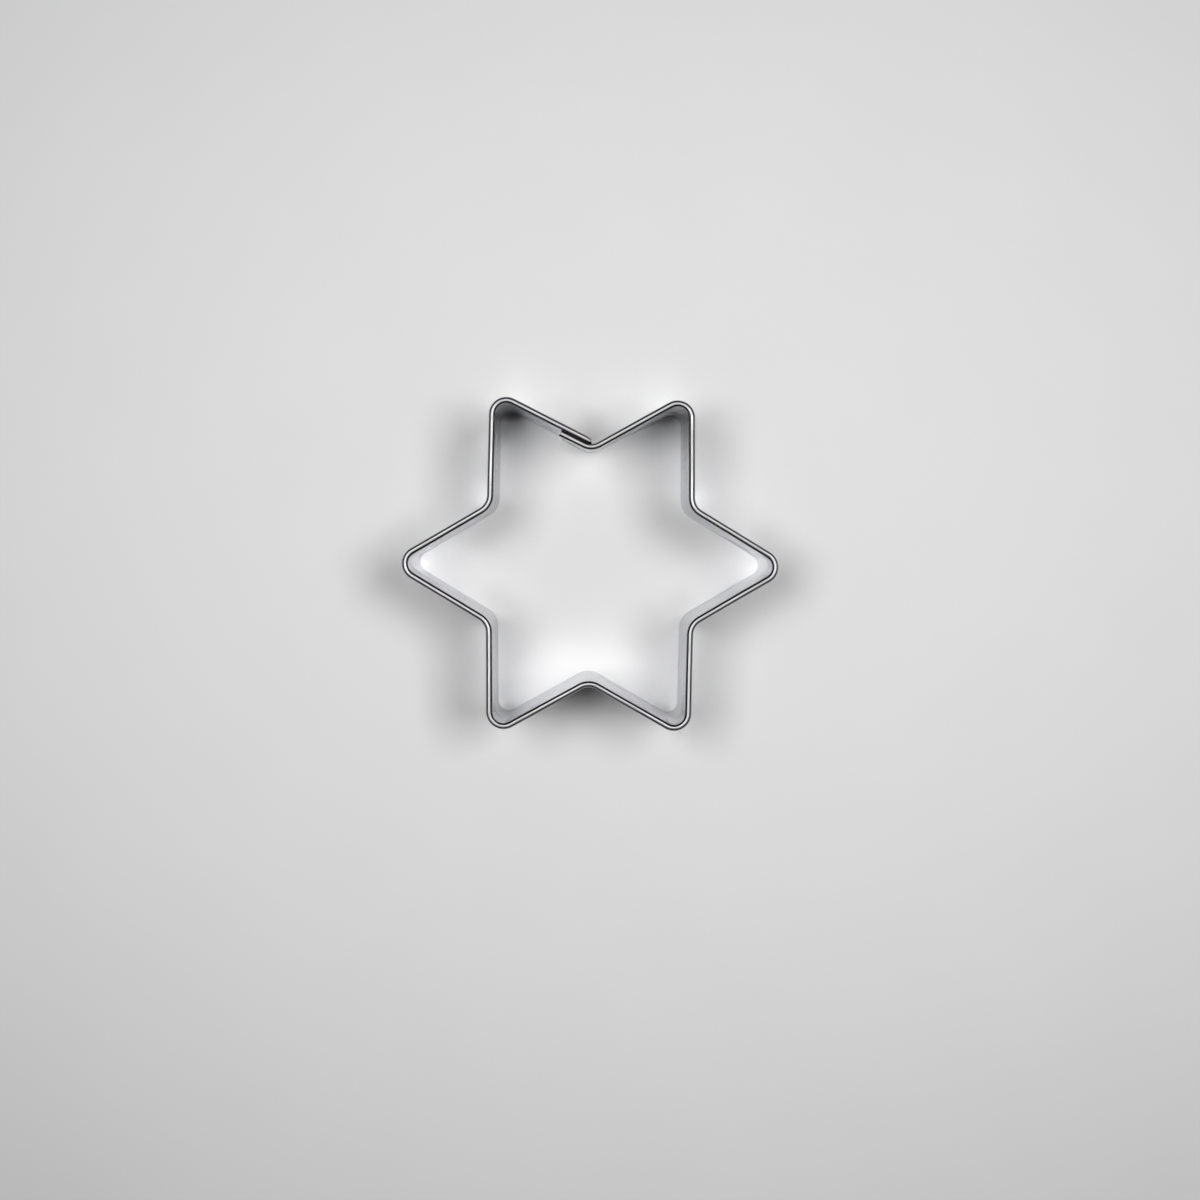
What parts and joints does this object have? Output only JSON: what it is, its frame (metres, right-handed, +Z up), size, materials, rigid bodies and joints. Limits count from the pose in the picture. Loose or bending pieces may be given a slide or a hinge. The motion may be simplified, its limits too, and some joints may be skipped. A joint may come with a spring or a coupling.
{
  "type": "cookie cutter",
  "caption": "Star-shaped cookie cutter bent from one strip of thin steel, with a rolled rim and a lap held by spot welds.",
  "frame": {"origin": "centre of the star on the plane that the foot edge rests on", "axes": "+Z up to the rolled rim, +X through one tip, +Y through the lap's notch"},
  "size_m": [0.05, 0.0441, 0.02],
  "materials": {
    "strip_steel": "bright rolled sheet, faintly brushed along the strip",
    "weld_steel": "matte pressed spot, slightly darkened by heat"
  },
  "bodies": {
    "root": {"star_strip": "strip_steel", "lower_spot_weld": "weld_steel", "upper_spot_weld": "weld_steel"}
  },
  "joints": []
}
